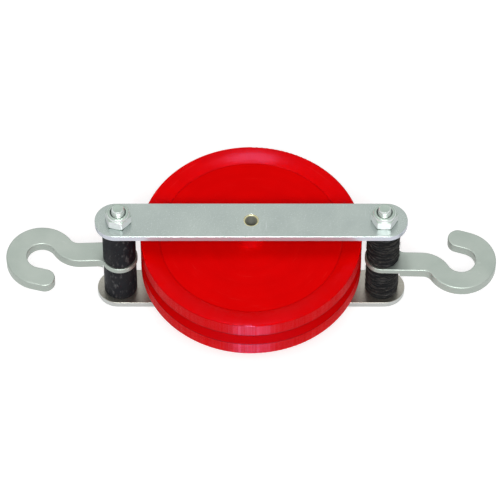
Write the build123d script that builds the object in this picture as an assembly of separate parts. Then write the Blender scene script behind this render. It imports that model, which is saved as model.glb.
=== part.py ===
from build123d import *
import math
import os

# A stringing block: a solid nylon sheave that turns on a fixed axle between two flat steel side
# plates, with a flat plate hook swinging on the clamping bolt at each end.
# It lies on its bolt heads, so Z is the sheave's axle, X runs from hook to hook and the origin is
# under the middle of the axle, at the level of the bolt heads. Millimetres.

# Side plates: flat bar with round ends
plate_width = 30.0
plate_thickness = 5.0
plate_edge_radius = 0.5
plate_end_margin = 17.0  # from each bolt's axis to the plate's end
plate_gap = 77.0  # clear distance between the two plates

# Clamping bolts and their lock nuts, M10
bolt_diameter = 10.0
bolt_hole_clearance = 0.25  # on the radius, in the plates and in the distance tubes
thread_clearance = 0.05  # on the radius, between the bolt and its nut and insert
bolt_point_chamfer = 1.0
bolt_end_past_nut = 4.0
head_across_flats = 17.0
head_height = 6.4
hex_chamfer_angle = 30.0
nut_across_flats = 17.0
nut_hex_height = 8.0
nut_height = 10.0
nut_collar_diameter = 16.0
nut_collar_radius = 1.3
nut_mouth_diameter = 12.4
nut_lip_thickness = 0.9
insert_diameter = 13.2
insert_thickness = 2.6
insert_clearance = 0.05  # all round the insert, in the nut's collar
nut_turn = {"left": -13.0, "right": -2.0}  # how far each nut happened to be tightened, degrees
head_turn = {"left": 8.0, "right": -21.0}

# Distance tubes and rubber sleeves on the bolts
tube_diameter = 14.0
sleeve_diameter = 24.0
sleeve_bore_clearance = 0.05
sleeve_edge_radius = 0.8
rope_passage = 3.5  # clear distance between the sheave's rim and each sleeve

# Sheave
sheave_diameter = 160.0
rim_width = 35.0
rim_edge_radius = 0.9
rim_flat = 2.0  # flat ring on the side of the rim
dish_width = 12.0  # rounded slope from that flat down to the web
web_width = 30.2
hub_ring_diameter = 20.0
hub_ring_chamfer = 0.6
groove_mouth = 10.7
groove_root_radius = 1.5
groove_flank_angle = 40.0
groove_edge_radius = 0.6
sheave_lift = 8.0  # the packing sleeve holds the sheave this far above mid frame

# Axle, bushes and washers
axle_diameter = 12.0
axle_bore = 8.6
spigot_diameter = 10.3  # the axle is turned down where it passes through a plate
spigot_lip_diameter = 11.0
spigot_lip_height = 0.4
spigot_clearance = 0.05  # on the radius, in the plate
lip_recess = 0.3  # the flared lip stays this far below the plate's face
axle_mouth_chamfer = 0.5
running_clearance = 0.05  # on the radius, where a bore turns on a shaft
end_clearance = 0.3  # along the axle, where a turning face passes a fixed one
bush_wall = 1.5
bush_seat_clearance = 0.02  # on the radius, in the sheave
bush_length = 20.0
bush_flange_diameter = 18.5
bush_flange_thickness = 1.5
washer_diameter = 19.0
washer_thickness = 1.5
packing_diameter = 18.0

# Plate hooks, measured outwards from the bolt (u) and across (w)
hook_thickness = 8.0
hook_edge_radius = 0.8
eye_thickness = 4.0
eye_diameter = 26.0
relief_clearance = 0.4  # between the sleeve and the shoulder where the eye's milling stops
shank_width = 16.6
shank_offset = 4.6
shank_root_radius = 6.0
shank_bend_radius = 22.5
neck_radius = 7.2
bowl_reach = 56.8
bowl_offset = 2.5
bowl_radius = 10.5
bar_width = 15.0
tip_length = 7.5  # straight part of the bar between the bowl and the tip's end arc
tip_slant = 16.8  # the tip opens away from the shank by this many degrees
left_hook_turn = 2.5
right_hook_turn = -1.2

# Levels above the floor
bottom_plate_z = head_height
gap_floor_z = bottom_plate_z + plate_thickness
mid_z = gap_floor_z + plate_gap / 2
gap_roof_z = gap_floor_z + plate_gap
top_face_z = gap_roof_z + plate_thickness
sheave_z = mid_z + sheave_lift
hook_top_z = mid_z  # the hooks lie just below mid frame
bolt_x = sheave_diameter / 2 + rope_passage + sleeve_diameter / 2
bolt_radius = bolt_diameter / 2
plate_length = 2 * (bolt_x + plate_end_margin)
sides = {"left": -1, "right": 1}


def tube(outer_diameter, bore_diameter, length):
    """A plain tube standing on the XY plane."""
    up = (Align.CENTER, Align.CENTER, Align.MIN)
    outside = Cylinder(outer_diameter / 2, length, align=up)
    return outside - Cylinder(bore_diameter / 2, length, align=up)


def turned(outline):
    """A solid of revolution about Z from a closed outline of (radius, height) points."""
    face = make_face(Polyline(*outline, close=True))
    return revolve(Plane.XZ * face, Axis.Z)


def corners(face, points):
    """The face's vertices that lie nearest to the given points."""
    return [face.vertices().sort_by_distance((*point, 0))[0] for point in points]


def hexagon_bar(across_flats, height):
    """A hexagonal bar with its upper corners turned off at the usual chamfer angle."""
    across_corners = across_flats / math.cos(math.radians(30))
    bar = extrude(RegularPolygon(across_corners / 2, 6), height)
    flat_radius = across_flats / 2 * 0.97
    drop = (across_corners / 2 - flat_radius) * math.tan(math.radians(hex_chamfer_angle))
    envelope = turned(
        [
            (0, 0),
            (across_corners / 2, 0),
            (across_corners / 2, height - drop),
            (flat_radius, height),
            (0, height),
        ]
    )
    return bar & envelope


# ---- side plates -------------------------------------------------------------------------------


def side_plate():
    """One plate with its outer face at the top, lying on the XY plane."""
    blank = extrude(SlotOverall(plate_length, plate_width), plate_thickness)
    flat_faces = blank.faces().filter_by(Axis.Z)
    plate = fillet(flat_faces[0].edges() + flat_faces[-1].edges(), plate_edge_radius)
    bolt_hole = Cylinder(bolt_radius + bolt_hole_clearance, 3 * plate_thickness)
    for side in sides.values():
        plate -= Pos(side * bolt_x, 0, 0) * bolt_hole
    return plate - spigot(spigot_clearance, plate_thickness)


def make_plates():
    top = Pos(0, 0, gap_roof_z) * side_plate()
    bottom = Pos(0, 0, gap_floor_z) * Rot(180, 0, 0) * side_plate()
    return {"top_side_plate": top, "bottom_side_plate": bottom}


# ---- axle and what sits on it ------------------------------------------------------------------


def spigot(extra, top):
    """The axle's end in one plate, with the lip that is flared to hold it, from z = 0 to top.
    The plate's own hole is the same shape, larger all round by the clearance."""
    radius = spigot_diameter / 2 + extra
    lip_radius = spigot_lip_diameter / 2 + extra
    lip_z = plate_thickness - lip_recess - spigot_lip_height
    flare_z = lip_z - (lip_radius - radius)
    outline = [(0, 0), (radius, 0), (radius, flare_z), (lip_radius, lip_z)]
    return turned([*outline, (lip_radius, top), (0, top)])


def make_axle():
    end = spigot(0, plate_thickness - lip_recess)
    axle = Pos(0, 0, mid_z) * Cylinder(axle_diameter / 2, plate_gap)
    axle += Pos(0, 0, gap_roof_z) * end
    axle += Pos(0, 0, gap_floor_z) * Rot(180, 0, 0) * end
    axle -= Pos(0, 0, mid_z) * Cylinder(axle_bore / 2, 2 * plate_gap)
    mouths = axle.edges().filter_by(GeomType.CIRCLE)
    mouths = mouths.filter_by(lambda e: abs(e.radius - axle_bore / 2) < 0.01)
    return {"axle": chamfer(mouths, axle_mouth_chamfer)}


bush_bore = axle_diameter + 2 * running_clearance
bush_diameter = bush_bore + 2 * bush_wall
hub_bore = bush_diameter + 2 * bush_seat_clearance
hub_half = plate_gap / 2 - sheave_lift - washer_thickness - end_clearance - bush_flange_thickness


def flanged_bush():
    """A bronze bush with the face of its flange at the top, standing on the XY plane."""
    shell = tube(bush_diameter, bush_bore, bush_length)
    flange = tube(bush_flange_diameter, bush_bore, bush_flange_thickness)
    return shell + Pos(0, 0, bush_length) * flange


def hub_ring():
    """A nylon ring with its chamfered end at the top. It stands on the sheave's web, round the
    bush, whose flange holds it there."""
    ring = tube(hub_ring_diameter, hub_bore, hub_half - web_width / 2)
    outer_edge = ring.faces().sort_by(Axis.Z)[-1].edges().sort_by(SortBy.RADIUS)[-1]
    return chamfer(outer_edge, hub_ring_chamfer)


def make_bearing_parts():
    """Two bushes in the sheave with a hub ring round each, a washer past each of them, and the
    packing sleeve below."""
    washer = tube(washer_diameter, bush_bore, washer_thickness)
    packing = tube(packing_diameter, bush_bore, 2 * sheave_lift)
    upper_side = Pos(0, 0, sheave_z)
    lower_side = Pos(0, 0, sheave_z) * Rot(180, 0, 0)
    bush = Pos(0, 0, hub_half - bush_length) * flanged_bush()
    ring = Pos(0, 0, web_width / 2) * hub_ring()
    return {
        "upper_flanged_bush": upper_side * bush,
        "lower_flanged_bush": lower_side * bush,
        "upper_hub_ring": upper_side * ring,
        "lower_hub_ring": lower_side * ring,
        "upper_thrust_washer": Pos(0, 0, gap_roof_z - washer_thickness) * washer,
        "lower_thrust_washer": Pos(0, 0, gap_floor_z + 2 * sheave_lift) * washer,
        "packing_sleeve": Pos(0, 0, gap_floor_z) * packing,
    }


# ---- sheave ------------------------------------------------------------------------------------


def groove_face():
    """The rope groove in section: a round root with flanks that flare to the rim."""
    rim = sheave_diameter / 2
    slope = math.radians(groove_flank_angle)
    half_root = groove_root_radius * math.cos(slope)
    flank = (groove_mouth / 2 - half_root) / math.tan(slope)
    foot = rim - flank  # radius at which the flanks leave the root
    centre = foot + groove_root_radius * math.sin(slope)
    over = 2.0  # how far the cutting face runs past the rim
    half_over = groove_mouth / 2 + over * math.tan(slope)
    root = ThreePointArc((foot, -half_root), (centre - groove_root_radius, 0), (foot, half_root))
    flanks = Polyline(
        (foot, half_root), (rim + over, half_over), (rim + over, -half_over), (foot, -half_root)
    )
    return make_face(root + flanks)


def make_sheave():
    rim = sheave_diameter / 2
    shoulder = (rim - rim_flat, rim_width / 2)
    web_edge = (rim - rim_flat - dish_width, web_width / 2)
    bore_edge = (hub_bore / 2, web_width / 2)
    dish = TangentArc(shoulder, web_edge, tangent=(-1, 0))
    edge = (rim, rim_width / 2)
    upper = Polyline(edge, shoulder) + dish + Line(web_edge, bore_edge)
    lower = mirror(upper, Plane.XZ)
    sides = Line(edge, (rim, -rim_width / 2)) + Line(bore_edge, (hub_bore / 2, -web_width / 2))
    face = make_face(upper + lower + sides) - groove_face()
    both = (1, -1)
    face = fillet(corners(face, [(rim, s * rim_width / 2) for s in both]), rim_edge_radius)
    face = fillet(corners(face, [(rim, s * groove_mouth / 2) for s in both]), groove_edge_radius)
    return {"sheave": Pos(0, 0, sheave_z) * revolve(Plane.XZ * face, Axis.Z)}


# ---- end bolts, lock nuts, distance tubes and sleeves ------------------------------------------


def bolt():
    """A hexagon bolt standing on its head."""
    length = top_face_z + nut_height + bolt_end_past_nut
    point = bolt_radius - bolt_point_chamfer
    shank = turned(
        [
            (0, head_height / 2),
            (bolt_radius, head_height / 2),
            (bolt_radius, length - bolt_point_chamfer),
            (point, length),
            (0, length),
        ]
    )
    head = Rot(180, 0, 0) * hexagon_bar(head_across_flats, head_height)
    return Pos(0, 0, head_height) * head + shank


insert_z = nut_height - nut_lip_thickness - insert_clearance - insert_thickness


def lock_nut():
    """The nut's steel shell: a hexagon with a round collar rolled in over the insert."""
    shell = hexagon_bar(nut_across_flats, nut_hex_height)
    up = (Align.CENTER, Align.CENTER, Align.MIN)
    collar = Cylinder(nut_collar_diameter / 2, nut_height, align=up)
    collar = fillet(collar.edges().sort_by(Axis.Z)[-1], nut_collar_radius)
    shell += collar
    shell -= Cylinder(bolt_radius + thread_clearance, 3 * nut_height)
    seat_radius = insert_diameter / 2 + insert_clearance
    seat = Cylinder(seat_radius, insert_thickness + insert_clearance, align=up)
    mouth = Cylinder(nut_mouth_diameter / 2, nut_height, align=up)
    return shell - Pos(0, 0, insert_z) * (seat + mouth)


def rubber_sleeve(length):
    """One sleeve with softened outer corners, standing on the XY plane."""
    sleeve = tube(sleeve_diameter, tube_diameter + 2 * sleeve_bore_clearance, length)
    outer_edges = sleeve.edges().filter_by(GeomType.CIRCLE).sort_by(SortBy.RADIUS)[-2:]
    return fillet(outer_edges, sleeve_edge_radius)


def make_end_fittings():
    """One bolt, nut, nut insert, distance tube and pair of sleeves at each end of the frame."""
    tube_bore = bolt_diameter + 2 * bolt_hole_clearance
    spacer = tube(tube_diameter, tube_bore, plate_gap)
    insert = tube(insert_diameter, bolt_diameter + 2 * thread_clearance, insert_thickness)
    upper_length = gap_roof_z - hook_top_z - end_clearance
    lower_length = hook_top_z - eye_thickness - end_clearance - gap_floor_z
    parts = {}
    for name, side in sides.items():
        at = Pos(side * bolt_x, 0, 0)
        parts[f"{name}_bolt"] = at * Rot(0, 0, head_turn[name]) * bolt()
        parts[f"{name}_lock_nut"] = (
            at * Pos(0, 0, top_face_z) * Rot(0, 0, nut_turn[name]) * lock_nut()
        )
        parts[f"{name}_nut_insert"] = at * Pos(0, 0, top_face_z + insert_z) * insert
        parts[f"{name}_distance_tube"] = at * Pos(0, 0, gap_floor_z) * spacer
        upper_z = gap_roof_z - upper_length
        parts[f"{name}_upper_sleeve"] = at * Pos(0, 0, upper_z) * rubber_sleeve(upper_length)
        parts[f"{name}_lower_sleeve"] = at * Pos(0, 0, gap_floor_z) * rubber_sleeve(lower_length)
    return parts


# ---- hooks -------------------------------------------------------------------------------------


def on_circle(centre, radius, degrees):
    turn = math.radians(degrees)
    return (centre[0] + radius * math.cos(turn), centre[1] + radius * math.sin(turn))


def arc(centre, radius, start, end):
    """An arc about a centre, from one angle to another in degrees."""
    angles = (start, (start + end) / 2, end)
    return ThreePointArc(*[on_circle(centre, radius, angle) for angle in angles])


def hook_face():
    """The hook's outline in (u, w), with the bolt at the origin and the bowl out along +u."""
    low = shank_offset - shank_width / 2
    high = shank_offset + shank_width / 2
    bowl = (bowl_reach, bowl_offset)
    back_radius = bowl_radius + bar_width
    # The shank's mouth edge rolls into the bowl: two arcs that bend opposite ways and touch.
    bend_rise = low + shank_bend_radius - bowl_offset
    bend_run = math.sqrt((bowl_radius + shank_bend_radius) ** 2 - bend_rise**2)
    bend = (bowl_reach - bend_run, low + shank_bend_radius)
    bowl_start = math.degrees(math.atan2(bend_rise, -bend_run))
    # The neck is a hollow arc between the back of the bowl and the shank's other edge.
    neck_rise = high + neck_radius - bowl_offset
    neck_run = math.sqrt((back_radius + neck_radius) ** 2 - neck_rise**2)
    neck = (bowl_reach - neck_run, high + neck_radius)
    back_end = math.degrees(math.atan2(neck_rise, -neck_run))
    # The tip runs on straight from the bowl and ends in a full round as wide as the bar.
    tip_radius = bar_width / 2
    bowl_end = tip_slant - 90
    bar_end = on_circle(bowl, bowl_radius + tip_radius, bowl_end)
    tip = on_circle(bar_end, tip_length, tip_slant + 180)
    outline = [
        Line((0, low), (bend[0], low)),
        arc(bend, shank_bend_radius, -90, bowl_start - 180),
        arc(bowl, bowl_radius, bowl_start, bowl_end),
        Line(on_circle(bowl, bowl_radius, bowl_end), on_circle(tip, tip_radius, tip_slant + 90)),
        arc(tip, tip_radius, tip_slant + 90, tip_slant + 270),
        Line(on_circle(tip, tip_radius, bowl_end), on_circle(bowl, back_radius, bowl_end)),
        arc(bowl, back_radius, bowl_end, back_end),
        arc(neck, neck_radius, back_end - 180, -90),
        Line((neck[0], high), (0, high)),
        Line((0, high), (0, low)),
    ]
    face = make_face(Curve() + outline) + Circle(eye_diameter / 2)
    root_u = math.sqrt((eye_diameter / 2) ** 2 - low**2)
    return fillet(corners(face, [(root_u, low)]), shank_root_radius)


def hook():
    """A plate hook with its upper face on the XY plane, milled thin from below at its eye."""
    plate = extrude(hook_face(), -hook_thickness)
    flat_faces = plate.faces().filter_by(Axis.Z)
    plate = fillet(flat_faces[0].edges() + flat_faces[-1].edges(), hook_edge_radius)
    shoulder = sleeve_diameter / 2 + relief_clearance
    reach = 2 * eye_diameter
    milled = Box(reach, reach, hook_thickness, align=(Align.MAX, Align.CENTER, Align.MAX))
    plate -= Pos(shoulder, 0, -eye_thickness) * milled
    return plate - Cylinder(tube_diameter / 2 + running_clearance, 3 * hook_thickness)


def make_hooks():
    """Two hooks of one shape. The left one is turned half round about Z, so that the two mouths
    face opposite ways, and each rests a few degrees off the frame's line."""
    blank = mirror(hook(), Plane.XZ)
    return {
        "left_hook": Pos(-bolt_x, 0, hook_top_z) * Rot(0, 0, 180 + left_hook_turn) * blank,
        "right_hook": Pos(bolt_x, 0, hook_top_z) * Rot(0, 0, right_hook_turn) * blank,
    }


parts = {
    **make_plates(),
    **make_axle(),
    **make_bearing_parts(),
    **make_sheave(),
    **make_end_fittings(),
    **make_hooks(),
}
os.makedirs("parts", exist_ok=True)
for node, shape in parts.items():
    export_step(shape, f"parts/{node}.step")
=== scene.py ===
import math

import bmesh
import bpy
import numpy as np
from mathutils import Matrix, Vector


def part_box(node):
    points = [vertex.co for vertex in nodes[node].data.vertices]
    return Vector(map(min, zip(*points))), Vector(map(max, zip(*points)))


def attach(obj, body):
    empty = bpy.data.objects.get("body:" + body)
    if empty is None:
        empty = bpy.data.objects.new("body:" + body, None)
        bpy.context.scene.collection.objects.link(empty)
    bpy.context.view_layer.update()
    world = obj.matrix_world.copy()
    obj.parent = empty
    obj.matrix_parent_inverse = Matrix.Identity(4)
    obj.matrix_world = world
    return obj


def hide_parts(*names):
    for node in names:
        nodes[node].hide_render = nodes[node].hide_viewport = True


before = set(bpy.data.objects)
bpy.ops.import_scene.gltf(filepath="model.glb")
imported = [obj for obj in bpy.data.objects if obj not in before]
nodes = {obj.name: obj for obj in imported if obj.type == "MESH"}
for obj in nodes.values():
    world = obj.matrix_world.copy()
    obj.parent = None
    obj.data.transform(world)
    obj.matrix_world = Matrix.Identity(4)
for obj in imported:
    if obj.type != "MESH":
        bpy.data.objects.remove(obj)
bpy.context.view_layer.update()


# ---- Side plates -------------------------------------------------------------------------------
# Two lengths of flat steel bar with round ends, drilled for the axle and the two bolts.
# They are hot-dip galvanised, so the surface is a dull grey with a faint mottle, handling marks
# and brighter, rubbed edges.


def fill_inputs(tree, node, inputs):
    """Gives each named input a value, or a link if a socket is given."""
    for name, value in inputs.items():
        if isinstance(value, bpy.types.NodeSocket):
            tree.links.new(value, node.inputs[name])
        else:
            node.inputs[name].default_value = value


def add_node(tree, kind, inputs=None, **settings):
    """One shader node with its settings and inputs."""
    made = tree.nodes.new(kind)
    for name, value in settings.items():
        setattr(made, name, value)
    fill_inputs(tree, made, inputs or {})
    return made


def arithmetic(tree, operation, first, second=0.0, third=0.0, clamp=False):
    numbers = {0: first, 1: second, 2: third}
    made = add_node(tree, "ShaderNodeMath", numbers, operation=operation, use_clamp=clamp)
    return made.outputs[0]


def new_group(name, inputs, outputs):
    """An empty shader node group with float or vector sockets, and its input and output nodes."""
    tree = bpy.data.node_groups.new(name, "ShaderNodeTree")
    for label, start in inputs.items():
        kind = "NodeSocketVector" if start is None else "NodeSocketFloat"
        socket = tree.interface.new_socket(label, in_out="INPUT", socket_type=kind)
        if start is not None:
            socket.default_value = start
    for label, kind in outputs.items():
        tree.interface.new_socket(label, in_out="OUTPUT", socket_type=kind)
    return tree, tree.nodes.new("NodeGroupInput").outputs, tree.nodes.new("NodeGroupOutput")


def use_group(tree, group, inputs):
    made = tree.nodes.new("ShaderNodeGroup")
    made.node_tree = group
    fill_inputs(tree, made, inputs)
    return made.outputs


def new_material(name):
    """An empty material: its node tree, the Principled shader and the object coordinates."""
    material = bpy.data.materials.new(name)
    material.use_nodes = True
    tree = material.node_tree
    shader = next(n for n in tree.nodes if n.type == "BSDF_PRINCIPLED")
    return material, tree, shader, tree.nodes.new("ShaderNodeTexCoord").outputs["Object"]


def blend_colours(tree, amount, first, second):
    made = add_node(tree, "ShaderNodeMix", {"Factor": amount}, data_type="RGBA")
    for name, value in (("A", first), ("B", second)):
        socket = next(s for s in made.inputs if s.name == name and s.type == "RGBA")
        if isinstance(value, bpy.types.NodeSocket):
            tree.links.new(value, socket)
        else:
            socket.default_value = (*value, 1.0)
    return next(s for s in made.outputs if s.type == "RGBA")


def between(tree, amount, low, high):
    """Turns an amount from 0 to 1 into a value from low to high."""
    made = add_node(tree, "ShaderNodeMapRange", {"Value": amount, "To Min": low, "To Max": high})
    return made.outputs[0]


def ramp(tree, value, start, end):
    """0 where the value is at start, rising to 1 where it is at end."""
    made = add_node(
        tree, "ShaderNodeMapRange", {"Value": value, "From Min": start, "From Max": end}
    )
    return made.outputs[0]


def make_mottle():
    """Soft patches: fractal noise whose middle band is stretched to the whole range from 0 to 1."""
    tree, given, out = new_group(
        "Mottle",
        {"Vector": None, "Scale": 100.0, "Detail": 4.0, "Sharpness": 0.3},
        {"Value": "NodeSocketFloat"},
    )
    noise = add_node(
        tree,
        "ShaderNodeTexNoise",
        {"Vector": given["Vector"], "Scale": given["Scale"], "Detail": given["Detail"]},
    )
    half = arithmetic(tree, "MULTIPLY_ADD", given["Sharpness"], -0.5, 0.5)
    low = arithmetic(tree, "SUBTRACT", 0.5, half)
    high = arithmetic(tree, "ADD", 0.5, half)
    tree.links.new(ramp(tree, noise.outputs[0], low, high), out.inputs["Value"])
    return tree


def make_hairlines():
    """Fine marks: noise squeezed along one direction, of which only the highest ridges are kept."""
    tree, given, out = new_group(
        "Hairlines",
        {"Vector": None, "Stretch": None, "Amount": 0.1},
        {"Mask": "NodeSocketFloat"},
    )
    squeezed = add_node(
        tree,
        "ShaderNodeVectorMath",
        {0: given["Vector"], 1: given["Stretch"]},
        operation="MULTIPLY",
    )
    noise = add_node(
        tree,
        "ShaderNodeTexNoise",
        {"Vector": squeezed.outputs[0], "Scale": 1.0, "Detail": 3.0, "Roughness": 0.6},
    )
    low = arithmetic(tree, "MULTIPLY_ADD", given["Amount"], -0.5, 0.75)
    tree.links.new(ramp(tree, noise.outputs[0], low, 0.8), out.inputs["Mask"])
    return tree


def make_edge_wear():
    """Rubbed edges: 1 where the surface turns within a short radius, broken up by noise."""
    tree, given, out = new_group(
        "Edge wear",
        {"Vector": None, "Radius": 0.0006, "Break-up": 0.5},
        {"Mask": "NodeSocketFloat", "Normal": "NodeSocketVector"},
    )
    soft = add_node(tree, "ShaderNodeBevel", {"Radius": given["Radius"]}, samples=6)
    facing = add_node(tree, "ShaderNodeNewGeometry")
    along = add_node(
        tree,
        "ShaderNodeVectorMath",
        {0: soft.outputs[0], 1: facing.outputs["Normal"]},
        operation="DOT_PRODUCT",
    )
    turn = ramp(tree, along.outputs["Value"], 0.99, 0.85)
    noise = add_node(tree, "ShaderNodeTexNoise", {"Vector": given["Vector"], "Scale": 420.0})
    broken = arithmetic(tree, "MULTIPLY", noise.outputs[0], given["Break-up"])
    mask = arithmetic(tree, "SUBTRACT", turn, broken, clamp=True)
    tree.links.new(mask, out.inputs["Mask"])
    tree.links.new(soft.outputs[0], out.inputs["Normal"])
    return tree


# This mask carries painted light and shade on the upright faces of the metal finishes.
def make_upright():
    """Upright faces: 0 where the surface faces up or down, rising to 1 where it stands upright."""
    tree, _, out = new_group("Upright faces", {}, {"Mask": "NodeSocketFloat"})
    facing = add_node(tree, "ShaderNodeNewGeometry")
    split = add_node(tree, "ShaderNodeSeparateXYZ", {0: facing.outputs["Normal"]})
    level = arithmetic(tree, "ABSOLUTE", split.outputs["Z"])
    tree.links.new(ramp(tree, level, 0.75, 0.35), out.inputs["Mask"])
    return tree


mottle = make_mottle()
hairlines = make_hairlines()
edge_wear = make_edge_wear()
upright = make_upright()


def make_galvanised(name, dull, light, bright, painted_side_tone, sides_metal, stretch, roughness, soil=0.0):
    """Zinc that is dull or light in patches, with bright marks and edges. Upright faces take a
    colour of their own, a painted light or shade for how the lamps fall on them, and are less
    metallic. Soil is the strength of the brown specks."""
    material, tree, shader, place = new_material(name)
    cloud = use_group(tree, mottle, {"Vector": place, "Scale": 38.0, "Sharpness": 0.45})
    grain = use_group(
        tree, mottle, {"Vector": place, "Scale": 1500.0, "Detail": 2.0, "Sharpness": 0.3}
    )
    marks = use_group(tree, hairlines, {"Vector": place, "Stretch": stretch, "Amount": 0.22})
    wear = use_group(tree, edge_wear, {"Vector": place, "Radius": 0.0005, "Break-up": 0.20})
    colour = blend_colours(tree, cloud["Value"], dull, light)
    fine = between(tree, grain["Value"], 0.0, 0.25)
    colour = blend_colours(tree, fine, colour, light)
    kept = between(tree, marks["Mask"], 0.0, 0.35)
    colour = blend_colours(tree, kept, colour, bright)
    if soil:
        specks = use_group(
            tree, mottle, {"Vector": place, "Scale": 700.0, "Detail": 3.0, "Sharpness": 0.2}
        )
        specks = arithmetic(tree, "POWER", specks["Value"], 3.0)
        specks = arithmetic(tree, "MULTIPLY", specks, soil)
        colour = blend_colours(tree, specks, colour, (0.17, 0.13, 0.09))
    stands = use_group(tree, upright, {})["Mask"]
    # Upright faces get a tone of their own: painted light or shade for how the lamps fall on them.
    tone = blend_colours(tree, fine, painted_side_tone, light)
    colour = blend_colours(tree, stands, colour, tone)
    colour = blend_colours(tree, wear["Mask"], colour, bright)
    tree.links.new(colour, shader.inputs["Base Color"])
    tree.links.new(between(tree, stands, 0.92, sides_metal), shader.inputs["Metallic"])
    rough = between(tree, grain["Value"], roughness - 0.04, roughness + 0.06)
    rough = arithmetic(tree, "MULTIPLY_ADD", wear["Mask"], -0.12, rough)
    tree.links.new(rough, shader.inputs["Roughness"])
    height = arithmetic(tree, "MULTIPLY_ADD", cloud["Value"], 2.0, grain["Value"])
    height = arithmetic(tree, "MULTIPLY_ADD", marks["Mask"], -0.8, height)
    bump = add_node(
        tree,
        "ShaderNodeBump",
        {"Strength": 0.35, "Distance": 0.00003, "Height": height, "Normal": wear["Normal"]},
    )
    tree.links.new(bump.outputs[0], shader.inputs["Normal"])
    return material


def dress(name, material):
    """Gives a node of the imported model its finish."""
    data = nodes[name].data
    data.materials.clear()
    data.materials.append(material)


# The plates' upright faces get a lighter, mauve tone and less metal: painted light.
plate_steel = make_galvanised(
    "Galvanised plate",
    dull=(0.34, 0.395, 0.375),
    light=(0.44, 0.50, 0.47),
    bright=(0.80, 0.83, 0.82),
    painted_side_tone=(0.58, 0.61, 0.70),
    sides_metal=0.30,
    stretch=(900.0, 60.0, 60.0),
    roughness=0.24,
)
# The bottom plate is the same zinc as the top one: its darker, browner colours are painted shade,
# its brown specks are dirt, and its upright faces are painted lighter.
shaded_soiled_steel = make_galvanised(
    "Shaded soiled galvanised plate",
    dull=(0.32, 0.32, 0.28),
    light=(0.42, 0.41, 0.36),
    bright=(0.80, 0.83, 0.82),
    painted_side_tone=(0.50, 0.53, 0.52),
    sides_metal=0.45,
    stretch=(900.0, 60.0, 60.0),
    roughness=0.30,
    soil=0.7,
)
dress("top_side_plate", plate_steel)
dress("bottom_side_plate", shaded_soiled_steel)


# ---- Axle --------------------------------------------------------------------------------------
# A hollow steel axle, turned down at each end and flared into the side plates. It is
# zinc plated with a yellow passivation, which shows as a straw-coloured lip in the plate's hole.


def make_plated(name, base, tint, bright, painted_side_tone, sides_metal, roughness):
    """Smooth plated or bare metal, base to tint in soft patches, with bright edges. Upright faces
    take a colour of their own, a painted light or shade for how the lamps fall on them, and are
    less metallic."""
    material, tree, shader, place = new_material(name)
    cloud = use_group(tree, mottle, {"Vector": place, "Scale": 260.0, "Sharpness": 0.4})
    wear = use_group(tree, edge_wear, {"Vector": place, "Radius": 0.0004, "Break-up": 0.4})
    colour = blend_colours(tree, cloud["Value"], base, tint)
    stands = use_group(tree, upright, {})["Mask"]
    # Upright faces get a tone of their own: painted light or shade for how the lamps fall on them.
    colour = blend_colours(tree, stands, colour, painted_side_tone)
    colour = blend_colours(tree, wear["Mask"], colour, bright)
    tree.links.new(colour, shader.inputs["Base Color"])
    tree.links.new(between(tree, stands, 1.0, sides_metal), shader.inputs["Metallic"])
    rough = between(tree, cloud["Value"], roughness, roughness + 0.1)
    tree.links.new(rough, shader.inputs["Roughness"])
    bump = add_node(
        tree,
        "ShaderNodeBump",
        {"Strength": 0.3, "Distance": 0.00002, "Height": cloud["Value"], "Normal": wear["Normal"]},
    )
    tree.links.new(bump.outputs[0], shader.inputs["Normal"])
    return material


# The axle's upright faces get a lighter, greyer tone: painted light.
yellow_zinc = make_plated(
    "Yellow zinc",
    base=(0.46, 0.46, 0.28),
    tint=(0.54, 0.50, 0.26),
    bright=(0.80, 0.80, 0.62),
    painted_side_tone=(0.56, 0.57, 0.50),
    sides_metal=0.55,
    roughness=0.28,
)
dress("axle", yellow_zinc)


# ---- Sheave ------------------------------------------------------------------------------------
# A solid disc of red nylon turned from bar stock, with a dished ring inside each rim and a
# round-bottomed rope groove. The lathe tool has left fine concentric marks all over it.


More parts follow.
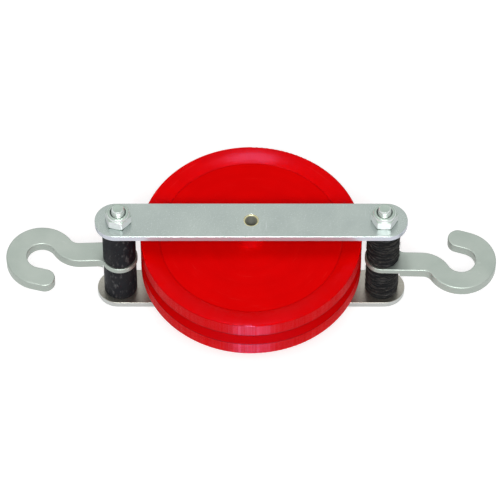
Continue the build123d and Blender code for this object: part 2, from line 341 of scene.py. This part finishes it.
def make_turning():
    """Lathe marks: a fine wave and noise along the profile, measured as radius plus height, so
    that the marks run round the axle on flat faces and on the rim alike. Chatter is noise that
    depends on the angle alone, and Arcs are a few scratches that follow the marks."""
    tree, given, out = new_group(
        "Turning marks",
        {"Vector": None, "Pitch": 0.0004},
        dict.fromkeys(("Height", "Bands", "Chatter", "Arcs", "Radius"), "NodeSocketFloat"),
    )
    split = add_node(tree, "ShaderNodeSeparateXYZ", {0: given["Vector"]})
    flat = add_node(
        tree, "ShaderNodeVectorMath", {0: given["Vector"], 1: (1.0, 1.0, 0.0)}, operation="MULTIPLY"
    )
    radius = add_node(tree, "ShaderNodeVectorMath", {0: flat.outputs[0]}, operation="LENGTH")
    along = arithmetic(tree, "ADD", radius.outputs["Value"], split.outputs["Z"])
    turns = arithmetic(tree, "DIVIDE", along, given["Pitch"])
    wave = arithmetic(tree, "SINE", arithmetic(tree, "MULTIPLY", turns, 2 * math.pi))
    wander = add_node(
        tree,
        "ShaderNodeTexNoise",
        {"W": arithmetic(tree, "MULTIPLY", turns, 0.31), "Scale": 1.0, "Detail": 4.0},
        noise_dimensions="1D",
    )
    height = arithmetic(tree, "MULTIPLY_ADD", wave, 0.35, wander.outputs[0])
    tree.links.new(height, out.inputs["Height"])
    bands = add_node(
        tree,
        "ShaderNodeTexNoise",
        {"W": arithmetic(tree, "MULTIPLY", turns, 0.06), "Scale": 1.0, "Detail": 2.0},
        noise_dimensions="1D",
    )
    tree.links.new(bands.outputs[0], out.inputs["Bands"])
    spoke = add_node(tree, "ShaderNodeVectorMath", {0: flat.outputs[0]}, operation="NORMALIZE")
    chatter = add_node(
        tree,
        "ShaderNodeTexNoise",
        {"Vector": spoke.outputs[0], "Scale": 120.0, "Detail": 3.0, "Roughness": 0.7},
    )
    tree.links.new(chatter.outputs[0], out.inputs["Chatter"])
    slow = add_node(
        tree, "ShaderNodeVectorMath", {0: spoke.outputs[0], 3: 2.5}, operation="SCALE"
    )
    lifted = add_node(
        tree,
        "ShaderNodeCombineXYZ",
        {"Z": arithmetic(tree, "MULTIPLY", radius.outputs["Value"], 1300.0)},
    )
    polar = add_node(
        tree, "ShaderNodeVectorMath", {0: slow.outputs[0], 1: lifted.outputs[0]}, operation="ADD"
    )
    scratch = add_node(
        tree, "ShaderNodeTexNoise", {"Vector": polar.outputs[0], "Scale": 1.0, "Detail": 2.0}
    )
    tree.links.new(ramp(tree, scratch.outputs[0], 0.66, 0.76), out.inputs["Arcs"])
    tree.links.new(radius.outputs["Value"], out.inputs["Radius"])
    return tree


turning = make_turning()


def make_red_nylon(web_radius, middle, half_width, groove_mouth):
    """Smooth and matt on the web and in the groove, glossier with coarser lathe marks on the dished
    ring and the rims, where the shine is stretched across the marks. The groove is painted darker,
    as painted shade, and thin lines of painted shade lie along the web's edge, the groove's mouth
    and the rims' edges. Pale pink streaks on the rims follow the lathe chatter, and their pink is a
    painted highlight."""
    deep_red, bright_red = (0.68, 0.0006, 0.0004), (0.76, 0.0010, 0.0006)
    # The groove's red is painted shade.
    band_red, painted_groove_shade = (0.60, 0.0004, 0.0003), (0.56, 0.0004, 0.0003)
    # The streak pink is a painted highlight.
    painted_highlight_pink, scratch_pink = (0.96, 0.030, 0.050), (0.88, 0.060, 0.050)
    # This dark red is painted shade along edges.
    painted_edge_shade = (0.20, 0.0006, 0.0006)
    shine_tint = (1.0, 0.45, 1.0, 1.0)
    ring_fade, groove_fade = 0.0008, 0.0003
    material, tree, shader, place = new_material("Red nylon")
    marks = use_group(tree, turning, {"Vector": place, "Pitch": 0.00045})
    patches = use_group(tree, mottle, {"Vector": place, "Scale": 45.0, "Sharpness": 0.35})
    rounded = use_group(tree, edge_wear, {"Radius": 0.0004})["Normal"]
    split = add_node(tree, "ShaderNodeSeparateXYZ", {0: place})
    level = arithmetic(tree, "ABSOLUTE", arithmetic(tree, "SUBTRACT", split.outputs["Z"], middle))
    outer = ramp(tree, marks["Radius"], web_radius, web_radius + ring_fade)
    groove_edge = groove_mouth / 2 + groove_fade
    open_side = ramp(tree, level, groove_mouth / 2, groove_edge)
    turned = arithmetic(tree, "MULTIPLY", outer, open_side)
    rim = arithmetic(tree, "MULTIPLY", turned, use_group(tree, upright, {})["Mask"])
    faint = arithmetic(tree, "MULTIPLY", open_side, 0.35)
    # Thin dark lines along the web's edge, the groove's mouth and the rims' edges: painted shade.
    edge_shade_lines = 0.0
    for measure, edge, weight, reach in (
        (marks["Radius"], web_radius, faint, 0.0010),
        (level, groove_edge, outer, 0.0006),
        (level, half_width - 0.0002, rim, 0.0005),
    ):
        away = arithmetic(tree, "ABSOLUTE", arithmetic(tree, "SUBTRACT", measure, edge))
        line = ramp(tree, away, reach, 0.0)
        line = arithmetic(tree, "MULTIPLY", line, weight, clamp=True)
        edge_shade_lines = arithmetic(tree, "MAXIMUM", line, edge_shade_lines)
    colour = blend_colours(tree, patches["Value"], deep_red, bright_red)
    fine = arithmetic(tree, "MULTIPLY", marks["Bands"], 0.35)
    colour = blend_colours(tree, fine, colour, band_red)
    streaks = arithmetic(tree, "MULTIPLY_ADD", marks["Chatter"], 4.0, -1.6, clamp=True)
    # Pale pink streaks on the rims follow the lathe chatter, and their pink is a painted highlight.
    fine = arithmetic(tree, "MULTIPLY", arithmetic(tree, "MULTIPLY", streaks, rim), 0.10)
    colour = blend_colours(tree, fine, colour, painted_highlight_pink)
    fine = arithmetic(tree, "MULTIPLY", marks["Arcs"], 0.22)
    colour = blend_colours(tree, fine, colour, scratch_pink)
    # The groove is painted darker: painted shade.
    in_groove = arithmetic(tree, "SUBTRACT", outer, turned)
    colour = blend_colours(tree, in_groove, colour, painted_groove_shade)
    # The dark edge lines are painted shade.
    fine = arithmetic(tree, "MULTIPLY", edge_shade_lines, 0.75)
    colour = blend_colours(tree, fine, colour, painted_edge_shade)
    tree.links.new(colour, shader.inputs["Base Color"])
    rough = between(tree, marks["Bands"], 0.50, 0.62)
    rough = arithmetic(tree, "MULTIPLY_ADD", turned, -0.35, rough)
    rough = arithmetic(tree, "MULTIPLY_ADD", rim, 0.16, rough)
    tree.links.new(rough, shader.inputs["Roughness"])
    shine = arithmetic(tree, "MULTIPLY_ADD", streaks, 0.075, 0.008)
    shine = arithmetic(tree, "MULTIPLY_ADD", shine, turned, 0.008)
    tree.links.new(shine, shader.inputs["Specular IOR Level"])
    shader.inputs["Specular Tint"].default_value = shine_tint
    back = arithmetic(tree, "MULTIPLY", split.outputs["Y"], -1.0)
    round_axle = add_node(
        tree, "ShaderNodeCombineXYZ", {"X": back, "Y": split.outputs["X"], "Z": 0.0}
    )
    along = add_node(
        tree,
        "ShaderNodeVectorTransform",
        {0: round_axle.outputs[0]},
        vector_type="VECTOR",
        convert_from="OBJECT",
        convert_to="WORLD",
    )
    tree.links.new(along.outputs[0], shader.inputs["Tangent"])
    stretched = arithmetic(tree, "MULTIPLY_ADD", rim, 0.25, 0.70)
    stretched = arithmetic(tree, "MULTIPLY", stretched, turned)
    tree.links.new(stretched, shader.inputs["Anisotropic"])
    quarter_turn = 0.25
    shader.inputs["Anisotropic Rotation"].default_value = quarter_turn
    depth = arithmetic(tree, "MULTIPLY_ADD", turned, 0.03, 0.03)
    depth = arithmetic(tree, "MULTIPLY_ADD", rim, 0.3, depth)
    height = arithmetic(tree, "MULTIPLY", marks["Height"], depth)
    bump = add_node(
        tree,
        "ShaderNodeBump",
        {"Strength": 1.0, "Distance": 0.00024, "Height": height, "Normal": rounded},
    )
    tree.links.new(bump.outputs[0], shader.inputs["Normal"])
    return material


sheave_low, sheave_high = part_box("sheave")
sheave_z = (sheave_low[2] + sheave_high[2]) / 2
red_nylon = make_red_nylon(
    web_radius=0.066,
    middle=sheave_z,
    half_width=(sheave_high[2] - sheave_low[2]) / 2,
    groove_mouth=0.0107,
)
dress("sheave", red_nylon)


# ---- Hub rings, bushes, thrust washers and packing sleeve --------------------------------------
# A red nylon ring stands on each side of the web, round a flanged bronze bush that is pressed
# into the sheave. Steel washers take the side load, and a steel sleeve under the lower washer
# holds the sheave above the middle of the frame.

for name in ("upper_hub_ring", "lower_hub_ring"):
    dress(name, red_nylon)

bearing_bronze = make_plated(
    "Bearing bronze",
    base=(0.50, 0.30, 0.13),
    tint=(0.58, 0.37, 0.17),
    bright=(0.80, 0.60, 0.35),
    painted_side_tone=(0.52, 0.32, 0.15),
    sides_metal=0.95,
    roughness=0.35,
)
for name in ("upper_flanged_bush", "lower_flanged_bush"):
    dress(name, bearing_bronze)

# The upright flats of nuts, bolts, washers and tubes get a much lighter tone and less metal:
# painted light.
bright_zinc = make_plated(
    "Bright zinc",
    base=(0.32, 0.39, 0.345),
    tint=(0.40, 0.47, 0.42),
    bright=(0.72, 0.76, 0.75),
    painted_side_tone=(0.78, 0.81, 0.82),
    sides_metal=0.20,
    roughness=0.30,
)
for name in ("upper_thrust_washer", "lower_thrust_washer", "packing_sleeve"):
    dress(name, bright_zinc)


# ---- Clamping bolts ----------------------------------------------------------------------------
# M10 hexagon bolts, cold headed, with rolled threads, put in from below. The head's corners are
# turned off at 30 degrees and the threaded end stands a few millimetres out of the lock nut.

bolt_radius = 0.005
thread_pitch = 0.0015
thread_depth = 0.00092
thread_length = 0.016
point_length = 0.0042
point_radius = 0.0037
point_shoulder = 0.0047
head_flats = 0.017
head_height = 0.0064
head_chamfer = 0.97  # radius where the chamfer starts, as a share of half the flats' distance
clear_of_hexagon = 0.02  # any radius beyond the hexagon's corners
hex_rounding = 52.0


def hexagon(angles, across_flats, turn):
    """Radius of a hexagon with slightly rounded corners: half the flats' distance over the
    high-power mean of the cosines of the angles to the three pairs of flats."""
    flats = angles[:, None] - turn - np.radians([30.0, 90.0, 150.0])
    mean = (np.abs(np.cos(flats)) ** hex_rounding).sum(axis=1) ** (1 / hex_rounding)
    return across_flats / 2 / mean


def angle_steps(count):
    return np.arange(count) * (2 * math.pi / count)


def surface_mesh(name, points, closed_profile, material, ridge_degrees=35.0):
    """A mesh from a grid of points, one row for each station of the profile and one column for
    each angle. Columns close round the axis. The profile closes into a ring, or ends in a pole
    at the mean of its first and last rows."""
    rows, columns = points.shape[:2]
    flat = points.reshape(-1, 3)
    here = np.arange(rows if closed_profile else rows - 1)[:, None] * columns
    onward = (here + columns) % (rows * columns)
    column = np.arange(columns)[None, :]
    beside = (column + 1) % columns
    quads = np.stack([here + column, here + beside, onward + beside, onward + column], axis=-1)
    faces = quads.reshape(-1, 4).tolist()
    if not closed_profile:
        poles = np.array([points[0].mean(axis=0), points[-1].mean(axis=0)])
        flat = np.concatenate([flat, poles])
        column, beside = column[0], beside[0]
        last = (rows - 1) * columns
        start = np.stack([beside, column, np.full(columns, rows * columns)], axis=-1)
        end = np.stack(
            [last + column, last + beside, np.full(columns, rows * columns + 1)], axis=-1
        )
        faces += start.tolist() + end.tolist()
    mesh = bpy.data.meshes.new(name)
    mesh.from_pydata(flat.tolist(), [], faces)
    mesh.polygons.foreach_set("use_smooth", np.ones(len(faces), bool))
    mesh.set_sharp_from_angle(angle=math.radians(ridge_degrees))
    mesh.materials.append(material)
    mesh.update()
    piece = bpy.data.objects.new(name, mesh)
    bpy.context.scene.collection.objects.link(piece)
    return piece


def around(centre, radii, heights, angles):
    """Grid of points about an upright axis: x and y are the centre plus radius times the cosine
    and sine of the angle, and z is the height of the row."""
    heights = np.broadcast_to(np.asarray(heights)[:, None], radii.shape)
    x = centre[0] + radii * np.cos(angles)
    y = centre[1] + radii * np.sin(angles)
    return np.stack([x, y, heights], axis=-1)


def bolt_surface(centre, top, turn):
    """Rows run from the head's underside to the tip. In the head the radius is the smaller of
    the hexagon's and the chamfer cone's. In the thread it is the major radius less the thread's
    depth times a triangle wave of height over pitch less angle over a turn, cut by the point."""
    angles = angle_steps(120)
    hexagonal = hexagon(angles, head_flats, turn)
    cone = head_flats / 2 * head_chamfer
    chamfer_z = np.array([0.0, 0.0, 0.0, 0.00015, 0.0003, 0.00045, 0.0006, 0.00075, 0.0009])
    chamfer_r = np.concatenate([[0.004, 0.0078], cone + chamfer_z[2:] * math.sqrt(3)])
    head_z = np.concatenate([chamfer_z, [0.0012, head_height - 0.0002, head_height]])
    head_r = np.concatenate([chamfer_r, [clear_of_hexagon] * 3])
    head = np.minimum(hexagonal[None, :], head_r[:, None])
    head[-1] *= 0.985
    plain_z = np.array([head_height, head_height + 0.0004, top - thread_length])
    plain = np.full((3, angles.size), bolt_radius)
    thread_z = np.linspace(top - 0.0159, top, 128)
    phase = thread_z[:, None] / thread_pitch - angles[None, :] / (2 * math.pi)
    wave = np.abs(2 * (phase % 1.0) - 1)
    wave = np.clip(wave * 1.25 - 0.125, 0, 1)
    run_in = np.clip((thread_z - thread_z[0]) / thread_pitch, 0, 1)[:, None]
    thread = bolt_radius - thread_depth * wave * run_in
    below = top - thread_z
    point = np.minimum(point_shoulder, point_radius + below * 0.6)
    point = np.where(below < point_length, point, bolt_radius)
    thread = np.minimum(thread, point[:, None])
    radii = np.concatenate([head, plain, thread, thread[-1:] * 0.5])
    heights = np.concatenate([head_z, plain_z, thread_z, [top]])
    return around(centre, radii, heights, angles)


def middle_of(low, high):
    """The axis of an upright piece, from the corners of its box. All lie in the XZ plane."""
    return (low[0] + high[0]) / 2, 0.0


for side, turn in (("left", 8.0), ("right", -21.0)):
    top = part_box(f"{side}_bolt")[1][2]
    centre = middle_of(*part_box(f"{side}_distance_tube"))
    points = bolt_surface(centre, top, math.radians(turn))
    bolt = surface_mesh(f"{side}_bolt_rolled", points, False, bright_zinc)
    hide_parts(f"{side}_bolt")
    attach(bolt, "frame")


# ---- Lock nuts ---------------------------------------------------------------------------------
# M10 lock nuts: a steel hexagon with a round collar rolled in over a dark nylon ring, which
# grips the thread. The steel is bright zinc plated.

nut_flats = 0.017
nut_hexagon_height = 0.008
nut_chamfer = 0.965  # radius where the chamfer starts, as a share of half the flats' distance
collar_radius = 0.0080
collar_roll = 0.0013
nut_height = 0.0100


def nut_surface(centre, base, turn):
    """A closed profile carried round the bolt. On the hexagon the radius is the smaller of the
    hexagon's and the two chamfer cones'. Above it a round collar rolls over in a quarter arc."""
    angles = angle_steps(120)
    hexagonal = hexagon(angles, nut_flats, turn)
    cone = nut_flats / 2 * nut_chamfer
    rise = np.linspace(0.0, 0.0009, 7)
    lower_z = rise * 0.9
    lower_r = cone + rise * math.sqrt(3)
    upper_z = nut_hexagon_height - rise[::-1] * 0.9
    upper_r = lower_r[::-1]
    arc = np.linspace(0.0, math.pi / 2, 8)
    roll_r = collar_radius - collar_roll * (1 - np.cos(arc))
    roll_z = nut_height - collar_roll * (1 - np.sin(arc))
    inner = [(0.0059, nut_height), (0.0056, 0.0097), (0.0058, 0.0091), (0.00665, 0.0091)]
    seat = [(0.00665, 0.00645), (0.00505, 0.00645), (0.00505, 0.0006), (0.0056, 0.0)]
    profile = np.concatenate(
        [
            np.stack([lower_r, lower_z], axis=-1),
            [[clear_of_hexagon, 0.0012], [clear_of_hexagon, 0.0065]],
            np.stack([upper_r, upper_z], axis=-1),
            [[collar_radius, 0.0083]],
            np.stack([roll_r, roll_z], axis=-1),
            inner,
            seat,
        ]
    )
    radii = np.minimum(profile[:, :1], hexagonal[None, :])
    return around(centre, radii, base + profile[:, 1], angles)


for side, turn in (("left", -13.0), ("right", -2.0)):
    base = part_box(f"{side}_lock_nut")[0][2]
    centre = middle_of(*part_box(f"{side}_distance_tube"))
    points = nut_surface(centre, base, math.radians(turn))
    nut = surface_mesh(f"{side}_nut_rolled", points, True, bright_zinc, ridge_degrees=28.0)
    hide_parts(f"{side}_lock_nut")
    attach(nut, "frame")


def make_insert_nylon():
    material, tree, shader, place = new_material("Insert nylon")
    cloud = use_group(tree, mottle, {"Vector": place, "Scale": 900.0, "Sharpness": 0.4})
    colour = blend_colours(tree, cloud["Value"], (0.020, 0.026, 0.026), (0.045, 0.055, 0.055))
    tree.links.new(colour, shader.inputs["Base Color"])
    tree.links.new(between(tree, cloud["Value"], 0.35, 0.55), shader.inputs["Roughness"])
    return material


insert_nylon = make_insert_nylon()
for side in ("left", "right"):
    dress(f"{side}_nut_insert", insert_nylon)


# ---- Distance tubes and rubber sleeves ---------------------------------------------------------
# A steel tube on each bolt keeps the plates apart and carries the hook's eye. Black rubber
# sleeves fill it out above and below the eye: plain moulded ones at the left, and at the right
# ones wound up from strip, whose frayed layers show as uneven rings.

for side in ("left", "right"):
    dress(f"{side}_distance_tube", bright_zinc)

sleeve_radius = 0.012
sleeve_bore = 0.00705
sleeve_rounding = 0.0009
strip_width = 0.0023


def smooth_noise(u, v, seed):
    """A sum of sine waves over angle u and height v, each with its own whole number of turns,
    its own wavelength and phase."""
    draw = np.random.default_rng(seed)
    total = np.zeros(np.broadcast(u, v).shape)
    for octave in range(1, 6):
        for _ in range(4):
            turns = draw.integers(0, 2 + 2 * octave)
            waves = draw.uniform(0.4, 1.0) * 90 * octave**1.6
            phase = draw.uniform(0, 2 * math.pi, 2)
            total += np.sin(turns * u + phase[0]) * np.sin(waves * v + phase[1]) / octave
    return total / 6


def sleeve_surface(centre, base, top, seed, ring_depth, lump):
    """A thick tube as one closed profile. Its outside is a plain radius with rounded ends, plus
    low lumps, less rings whose depth follows a sawtooth of height that drifts with the angle."""
    angles = angle_steps(160)
    rows = np.linspace(0.0, 1.0, 150)
    height = base + (top - base) * rows
    length = top - base
    near_end = np.clip(1 - np.minimum(rows, 1 - rows) * length / sleeve_rounding, 0, 1)
    round_off = sleeve_rounding * (1 - np.sqrt(1 - near_end**2)) * 0.9
    lumps = smooth_noise(angles[None, :], height[:, None], seed)
    drift = smooth_noise(angles[None, :], height[:, None] * 0.2, seed + 1)
    strip = height[:, None] / strip_width + 0.35 * drift + angles[None, :] / (2 * math.pi)
    rings = ring_depth * (strip % 1.0) ** 3
    fraying = smooth_noise(angles[None, :] * 3, height[:, None] * 7, seed + 2)
    fray = ring_depth * 0.5 * np.abs(fraying)
    outside = sleeve_radius - round_off[:, None] + lump * lumps - rings - fray
    inside = np.full((2, angles.size), sleeve_bore)
    radii = np.concatenate([outside, inside])
    heights = np.concatenate([height, [top, base]])
    return around(centre, radii, heights, angles)


def make_rubber(name, base, dusty, worn, stretch, amount, roughness):
    """Black with dusty patches, brown stains and worn streaks that run along one direction."""
    material, tree, shader, place = new_material(name)
    cloud = use_group(tree, mottle, {"Vector": place, "Scale": 150.0, "Sharpness": 0.35})
    stain = use_group(tree, mottle, {"Vector": place, "Scale": 95.0, "Sharpness": 0.25})
    grain = use_group(tree, mottle, {"Vector": place, "Scale": 1200.0, "Sharpness": 0.3})
    marks = use_group(tree, hairlines, {"Vector": place, "Stretch": stretch, "Amount": amount})
    colour = blend_colours(tree, cloud["Value"], base, dusty)
    brown = arithmetic(tree, "MULTIPLY", arithmetic(tree, "POWER", stain["Value"], 3.0), 0.5)
    colour = blend_colours(tree, brown, colour, (0.030, 0.024, 0.018))
    colour = blend_colours(tree, between(tree, marks["Mask"], 0.0, 0.8), colour, worn)
    tree.links.new(colour, shader.inputs["Base Color"])
    rough = between(tree, grain["Value"], roughness - 0.1, roughness + 0.1)
    tree.links.new(rough, shader.inputs["Roughness"])
    shader.inputs["Specular IOR Level"].default_value = 0.06
    height = arithmetic(tree, "MULTIPLY_ADD", marks["Mask"], 1.2, grain["Value"])
    bump = add_node(
        tree, "ShaderNodeBump", {"Strength": 0.6, "Distance": 0.00012, "Height": height}
    )
    tree.links.new(bump.outputs[0], shader.inputs["Normal"])
    return material


moulded_rubber = make_rubber(
    "Moulded rubber",
    base=(0.004, 0.005, 0.008),
    dusty=(0.013, 0.014, 0.018),
    worn=(0.150, 0.150, 0.150),
    stretch=(420.0, 420.0, 160.0),
    amount=0.40,
    roughness=0.5,
)
wound_rubber = make_rubber(
    "Wound rubber",
    base=(0.003, 0.004, 0.005),
    dusty=(0.012, 0.013, 0.015),
    worn=(0.190, 0.190, 0.186),
    stretch=(110.0, 110.0, 1100.0),
    amount=0.40,
    roughness=0.6,
)
sleeves = (
    ("left_upper_sleeve", 11, 0.0, 0.00005, moulded_rubber),
    ("left_lower_sleeve", 23, 0.0, 0.00008, moulded_rubber),
    ("right_upper_sleeve", 37, 0.00060, 0.00018, wound_rubber),
    ("right_lower_sleeve", 41, 0.00060, 0.00022, wound_rubber),
)
for name, seed, ring_depth, lump, rubber in sleeves:
    low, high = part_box(name)
    centre = middle_of(low, high)
    points = sleeve_surface(centre, low[2], high[2], seed, ring_depth, lump)
    sleeve = surface_mesh(f"{name}_rubber", points, True, rubber, ridge_degrees=60.0)
    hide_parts(name)
    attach(sleeve, "frame")


def fibre_surface(centre, base, top, count, seed):
    """Threads pulled out of a wound sleeve. Each runs round it at the sleeve's radius plus a lift
    times the cube of its length, while its height drifts, and its four-sided section tapers."""
    end_room = 0.0026
    draw = np.random.default_rng(seed)
    along = np.linspace(0.0, 1.0, 14)[None, :, None]
    corner = (np.arange(4) * math.pi / 2)[None, None, :]
    start, turn, rise, lift, height, width = (
        draw.uniform(low, high, count)[:, None, None]
        for low, high in (
            (0.0, 2 * math.pi),
            (0.35, 1.5),
            (-0.0022, 0.0022),
            (0.0, 0.0013),
            (base + end_room, top - end_room),
            (0.00010, 0.00017),
        )
    )
    turn = turn * np.where(draw.random(count) < 0.5, -1, 1)[:, None, None]
    width = width * (1 - 0.6 * along)
    wave = 0.0003 * np.sin(9 * along + start)
    angle = start + turn * along
    radius = sleeve_radius + lift * along**3 + width * np.cos(corner)
    z = height + rise * along + wave + width * np.sin(corner)
    x = centre[0] + radius * np.cos(angle)
    y = centre[1] + radius * np.sin(angle)
    return np.stack([x, y, np.broadcast_to(z, x.shape)], axis=-1)


def strand_mesh(name, points, material):
    """One mesh of many strands from an array of strand, station, corner and coordinate. Each
    strand is a four-sided tube with flat ends."""
    count, stations = points.shape[:2]
    strand = (np.arange(count) * stations * 4)[:, None, None]
    station = (np.arange(stations - 1) * 4)[None, :, None]
    corner = np.arange(4)[None, None, :]
    after = (corner + 1) % 4
    here = strand + station
    quads = np.stack([here + corner, here + after, here + after + 4, here + corner + 4], axis=-1)
    first = strand[:, 0] + np.arange(4)
    last = (first + (stations - 1) * 4)[:, ::-1]
    faces = np.concatenate([quads.reshape(-1, 4), first[:, ::-1], last[:, ::-1]])
    mesh = bpy.data.meshes.new(name)
    mesh.from_pydata(points.reshape(-1, 3).tolist(), [], faces.tolist())
    mesh.materials.append(material)
    edit = bmesh.new()
    edit.from_mesh(mesh)
    bmesh.ops.recalc_face_normals(edit, faces=edit.faces)
    edit.to_mesh(mesh)
    edit.free()
    piece = bpy.data.objects.new(name, mesh)
    bpy.context.scene.collection.objects.link(piece)
    return piece


frayed_thread = make_rubber(
    "Frayed thread",
    base=(0.030, 0.029, 0.027),
    dusty=(0.110, 0.105, 0.092),
    worn=(0.230, 0.220, 0.190),
    stretch=(500.0, 500.0, 500.0),
    amount=0.40,
    roughness=0.7,
)
thread_count = 80
hook_room = 0.0022  # keeps the lower sleeve's threads clear of the hook when it swings
for name, seed, top_room in (
    ("right_upper_sleeve", 53, 0.0),
    ("right_lower_sleeve", 67, hook_room),
):
    low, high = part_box(name)
    centre = middle_of(low, high)
    points = fibre_surface(centre, low[2], high[2] - top_room, thread_count, seed)
    threads = strand_mesh(f"{name}_threads", points, frayed_thread)
    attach(threads, "frame")


# ---- Hooks -------------------------------------------------------------------------------------
# Two plate hooks, cut from 8 mm steel, with the eye milled to half thickness from below so that
# it fits between two sleeves. They are galvanised like the side plates.

# The hooks' upright faces get a greener tone and less metal: painted shade.
hook_steel = make_galvanised(
    "Galvanised hook",
    dull=(0.30, 0.35, 0.315),
    light=(0.40, 0.445, 0.405),
    bright=(0.66, 0.69, 0.67),
    painted_side_tone=(0.36, 0.41, 0.37),
    sides_metal=0.55,
    stretch=(120.0, 420.0, 90.0),
    roughness=0.42,
)
for name in ("left_hook", "right_hook"):
    dress(name, hook_steel)


# ---- Floor, light and camera -------------------------------------------------------------------
# A plain white floor, a soft lamp overhead, a soft lamp from the viewer's side and an even white
# surround. Two small lamps shine on the red nylon alone, and only in its reflections.


def make_floor():
    reach = 4.0
    corners = np.array([(-1, -1, 0), (1, -1, 0), (1, 1, 0), (-1, 1, 0)]) * reach
    mesh = bpy.data.meshes.new("floor")
    mesh.from_pydata(corners.tolist(), [], [(0, 1, 2, 3)])
    material, tree, shader, _ = new_material("White floor")
    shader.inputs["Base Color"].default_value = (0.72, 0.72, 0.72, 1.0)
    shader.inputs["Roughness"].default_value = 0.8
    shader.inputs["Specular IOR Level"].default_value = 0.0
    path = tree.nodes.new("ShaderNodeLightPath").outputs
    seen = arithmetic(tree, "MAXIMUM", path["Is Camera Ray"], path["Is Glossy Ray"])
    shader.inputs["Emission Color"].default_value = (1.0, 1.0, 1.0, 1.0)
    tree.links.new(between(tree, seen, 0.0, 0.55), shader.inputs["Emission Strength"])
    mesh.materials.append(material)
    floor = bpy.data.objects.new("floor", mesh)
    bpy.context.scene.collection.objects.link(floor)


def make_lamp(name, place, width, length, power):
    """A soft rectangular lamp that looks at the sheave, its length running away from the
    viewer."""
    data = bpy.data.lights.new(name, "AREA")
    data.shape = "RECTANGLE"
    data.size = width
    data.size_y = length
    data.energy = power
    lamp = bpy.data.objects.new(name, data)
    lamp.location = place
    direction = np.array([0.0, 0.0, sheave_z]) - np.array(place)
    flat = math.hypot(direction[0], direction[1])
    lamp.rotation_euler = (
        math.pi / 2 - math.atan2(-direction[2], flat),
        0.0,
        math.atan2(-direction[0], direction[1]) if flat > 1e-6 else 0.0,
    )
    bpy.context.scene.collection.objects.link(lamp)
    return lamp


def make_world():
    """Full white to the eye and in reflections, dimmer as a light on matt surfaces."""
    world = bpy.data.worlds.new("White surround")
    world.use_nodes = True
    tree = world.node_tree
    background = next(n for n in tree.nodes if n.type == "BACKGROUND")
    background.inputs["Color"].default_value = (1.0, 1.0, 1.0, 1.0)
    path = tree.nodes.new("ShaderNodeLightPath").outputs
    seen = arithmetic(tree, "MAXIMUM", path["Is Camera Ray"], path["Is Glossy Ray"])
    seen = arithmetic(tree, "MAXIMUM", seen, path["Is Transmission Ray"])
    strength = between(tree, seen, 0.30, 1.0)
    tree.links.new(strength, background.inputs["Strength"])
    bpy.context.scene.world = world


make_floor()
make_lamp("overhead", (-0.02, 0.30, 2.2), width=0.22, length=0.9, power=8.0)
make_lamp("viewer_side", (0.0, -2.01, 2.55), width=1.5, length=1.1, power=69.0)
glossy_pieces = bpy.data.collections.new("Pieces with a glint")
for name in ("sheave", "upper_hub_ring", "lower_hub_ring"):
    glossy_pieces.objects.link(bpy.data.objects[name])
for glint in (
    make_lamp("ring_glint", (0.0, 0.50, 2.2), width=0.12, length=0.45, power=26.0),
    make_lamp("rim_glint", (0.0, -2.2, 0.25), width=0.2, length=0.2, power=560.0),
):
    glint.visible_diffuse = False
    glint.light_linking.receiver_collection = glossy_pieces
make_world()

elevation = math.radians(54.2)
distance = 3.0
aside = -0.00085
below = -0.00063
camera_data = bpy.data.cameras.new("camera")
camera_data.sensor_width = 36.0
camera_data.lens = 298.1
camera_data.clip_end = 50.0
camera = bpy.data.objects.new("camera", camera_data)
camera.location = (
    aside,
    -distance * math.cos(elevation) + below * math.sin(elevation),
    sheave_z + distance * math.sin(elevation) + below * math.cos(elevation),
)
camera.rotation_euler = (math.pi / 2 - elevation, 0.0, 0.0)
bpy.context.scene.collection.objects.link(camera)
bpy.context.scene.camera = camera
bpy.context.scene.view_settings.view_transform = "Standard"
